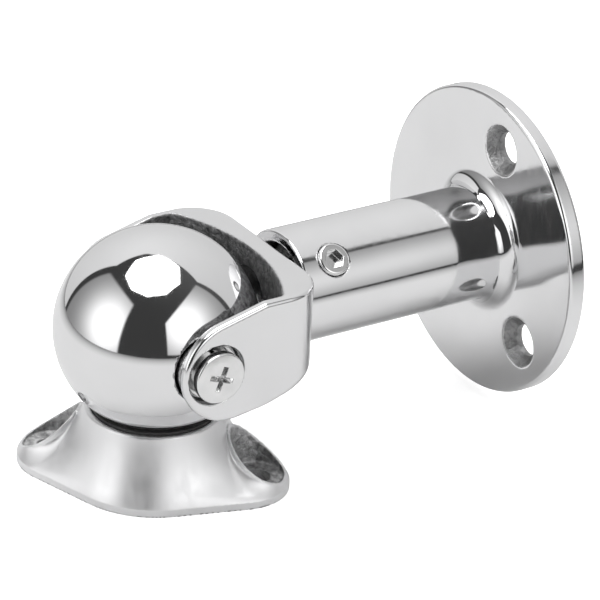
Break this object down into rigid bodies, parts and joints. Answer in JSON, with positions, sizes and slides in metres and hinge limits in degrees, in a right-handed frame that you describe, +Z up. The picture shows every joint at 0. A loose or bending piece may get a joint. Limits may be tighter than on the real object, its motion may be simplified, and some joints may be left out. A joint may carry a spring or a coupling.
{
  "type": "stanchion base",
  "caption": "Swivelling stanchion base: a diamond deck base carries a ball that turns, a yoke that tilts about the ball and a socket tube ending in a round screw flange.",
  "frame": {"origin": "on the deck, under the middle of the diamond base, midway between its two screw holes", "axes": "+Z up along the swivel axis through the ball, +X along the socket tube towards the round flange, -Y the side of the near pivot screw"},
  "size_m": [0.124, 0.078, 0.0808],
  "materials": {
    "polished_steel": "mirror-polished cast stainless steel",
    "cast_steel": "as-cast dark stainless steel",
    "fastener_steel": "bright turned stainless fasteners",
    "nylon": "black nylon"
  },
  "bodies": {
    "base": {"deck_base": "polished_steel", "seat_ring": "nylon"},
    "ball": {"swivel_ball": "polished_steel", "swivel_bolt": "fastener_steel", "swivel_spring_washer": "fastener_steel", "swivel_washer": "fastener_steel", "pivot_screw_near": "fastener_steel", "pivot_washer_near": "fastener_steel", "pivot_spring_washer_near": "fastener_steel", "friction_washer_near": "nylon", "pivot_screw_far": "fastener_steel", "pivot_washer_far": "fastener_steel", "pivot_spring_washer_far": "fastener_steel", "friction_washer_far": "nylon"},
    "yoke": {"yoke": "polished_steel", "roll_washer": "nylon"},
    "spigot": {"spigot": "cast_steel", "yoke_bolt": "fastener_steel"},
    "socket": {"socket_tube": "polished_steel", "root_weld": "polished_steel", "flange_plate": "polished_steel"},
    "set_screw": {"set_screw": "fastener_steel"}
  },
  "joints": [
    {"name": "ball_swivel", "type": "hinge", "parent": "base", "child": "ball", "pos_m": [0, 0, 0.039], "axis": [0, 0, 1], "continuous": true},
    {"name": "yoke_tilt", "type": "hinge", "parent": "ball", "child": "yoke", "pos_m": [0, 0, 0.039], "axis": [0, -1, 0], "range_deg": [-1.6, 178]},
    {"name": "socket_roll", "type": "hinge", "parent": "yoke", "child": "spigot", "pos_m": [0.0306, 0, 0.0418], "axis": [1, 0, 0], "continuous": true},
    {"name": "socket_slide", "type": "slide", "parent": "spigot", "child": "socket", "axis": [1, 0, 0], "range_m": [-0.0025, 0.02]},
    {"name": "set_screw_travel", "type": "slide", "parent": "socket", "child": "set_screw", "axis": [0, -0.7133, 0.7009], "range_m": [0, 0.003]}
  ]
}
